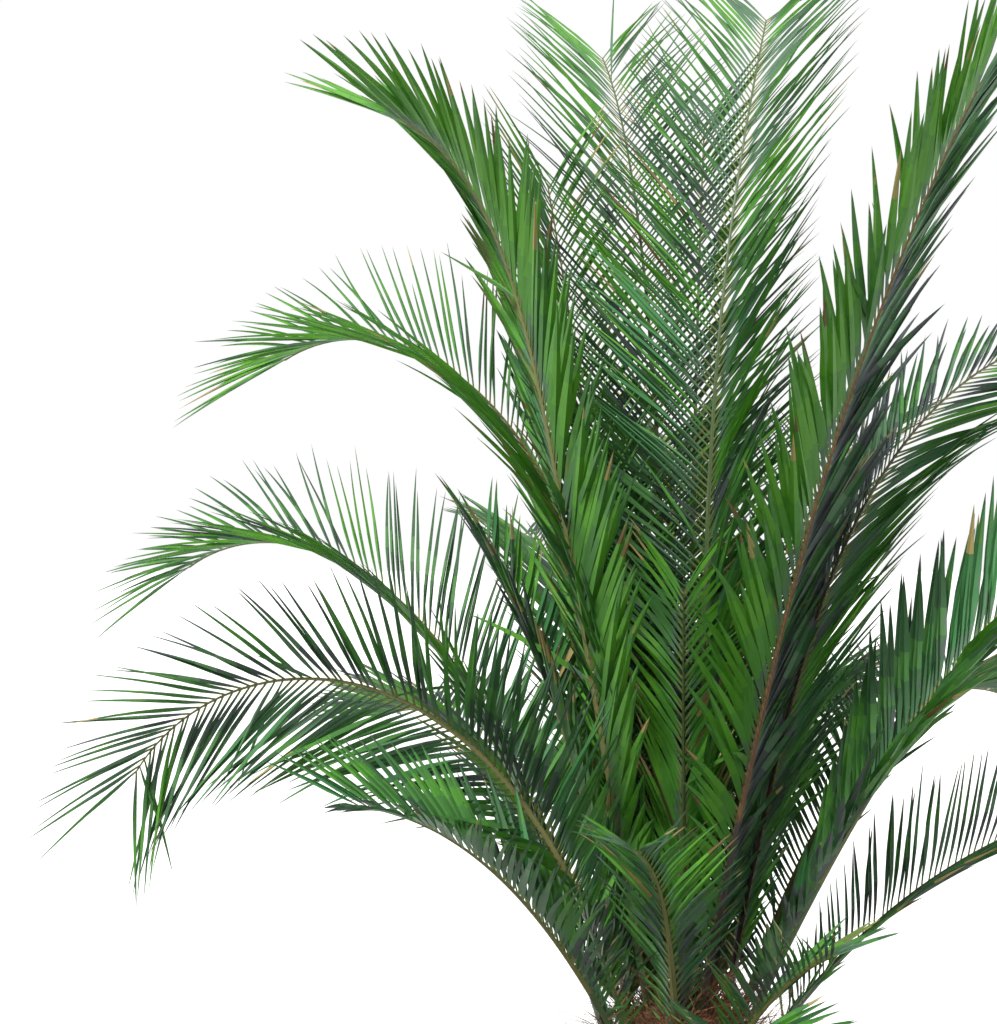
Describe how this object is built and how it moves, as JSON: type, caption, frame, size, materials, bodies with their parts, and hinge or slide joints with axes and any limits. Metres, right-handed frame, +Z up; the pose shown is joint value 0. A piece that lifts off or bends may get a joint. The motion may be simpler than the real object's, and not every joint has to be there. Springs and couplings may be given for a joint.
{
  "type": "date palm tree",
  "caption": "Young date palm: a short trunk clad in cut leaf stubs, with a full crown of long arching feather fronds.",
  "frame": {"origin": "centre of the flat cut under the trunk, at ground level", "axes": "+Z up along the trunk, -Y towards the front of the crown, +X to the right of whoever faces that front"},
  "size_m": [2.5275, 2.6268, 2.6131],
  "materials": {
    "bark": "matt reddish-brown fibre and dry cut leaf stubs",
    "leaf": "satin green leaflets on olive ribs"
  },
  "bodies": {
    "root": {"trunk": "bark", "frond_a_lower": "leaf", "frond_a_outer": "leaf", "frond_b_lower": "leaf", "frond_b_outer": "leaf", "frond_c": "leaf", "frond_d_lower": "leaf", "frond_d_outer": "leaf", "frond_e": "leaf", "frond_f_lower": "leaf", "frond_f_outer": "leaf", "frond_g": "leaf", "frond_h_lower": "leaf", "frond_h_outer": "leaf", "frond_i_lower": "leaf", "frond_i_outer": "leaf", "frond_j_lower": "leaf", "frond_j_outer": "leaf", "frond_k": "leaf", "frond_l_lower": "leaf", "frond_l_outer": "leaf", "frond_m": "leaf", "frond_n": "leaf", "frond_o": "leaf", "frond_p": "leaf", "frond_q": "leaf", "frond_r": "leaf", "frond_s_lower": "leaf", "frond_s_outer": "leaf", "frond_t_lower": "leaf", "frond_t_outer": "leaf", "frond_u_lower": "leaf", "frond_u_outer": "leaf", "frond_v_lower": "leaf", "frond_v_outer": "leaf", "frond_w_lower": "leaf", "frond_w_outer": "leaf", "frond_x_lower": "leaf", "frond_x_outer": "leaf", "frond_y_lower": "leaf", "frond_y_outer": "leaf", "frond_low_a": "leaf", "frond_low_b": "leaf", "frond_low_c": "leaf", "frond_low_d": "leaf", "frond_low_e": "leaf"}
  },
  "joints": []
}
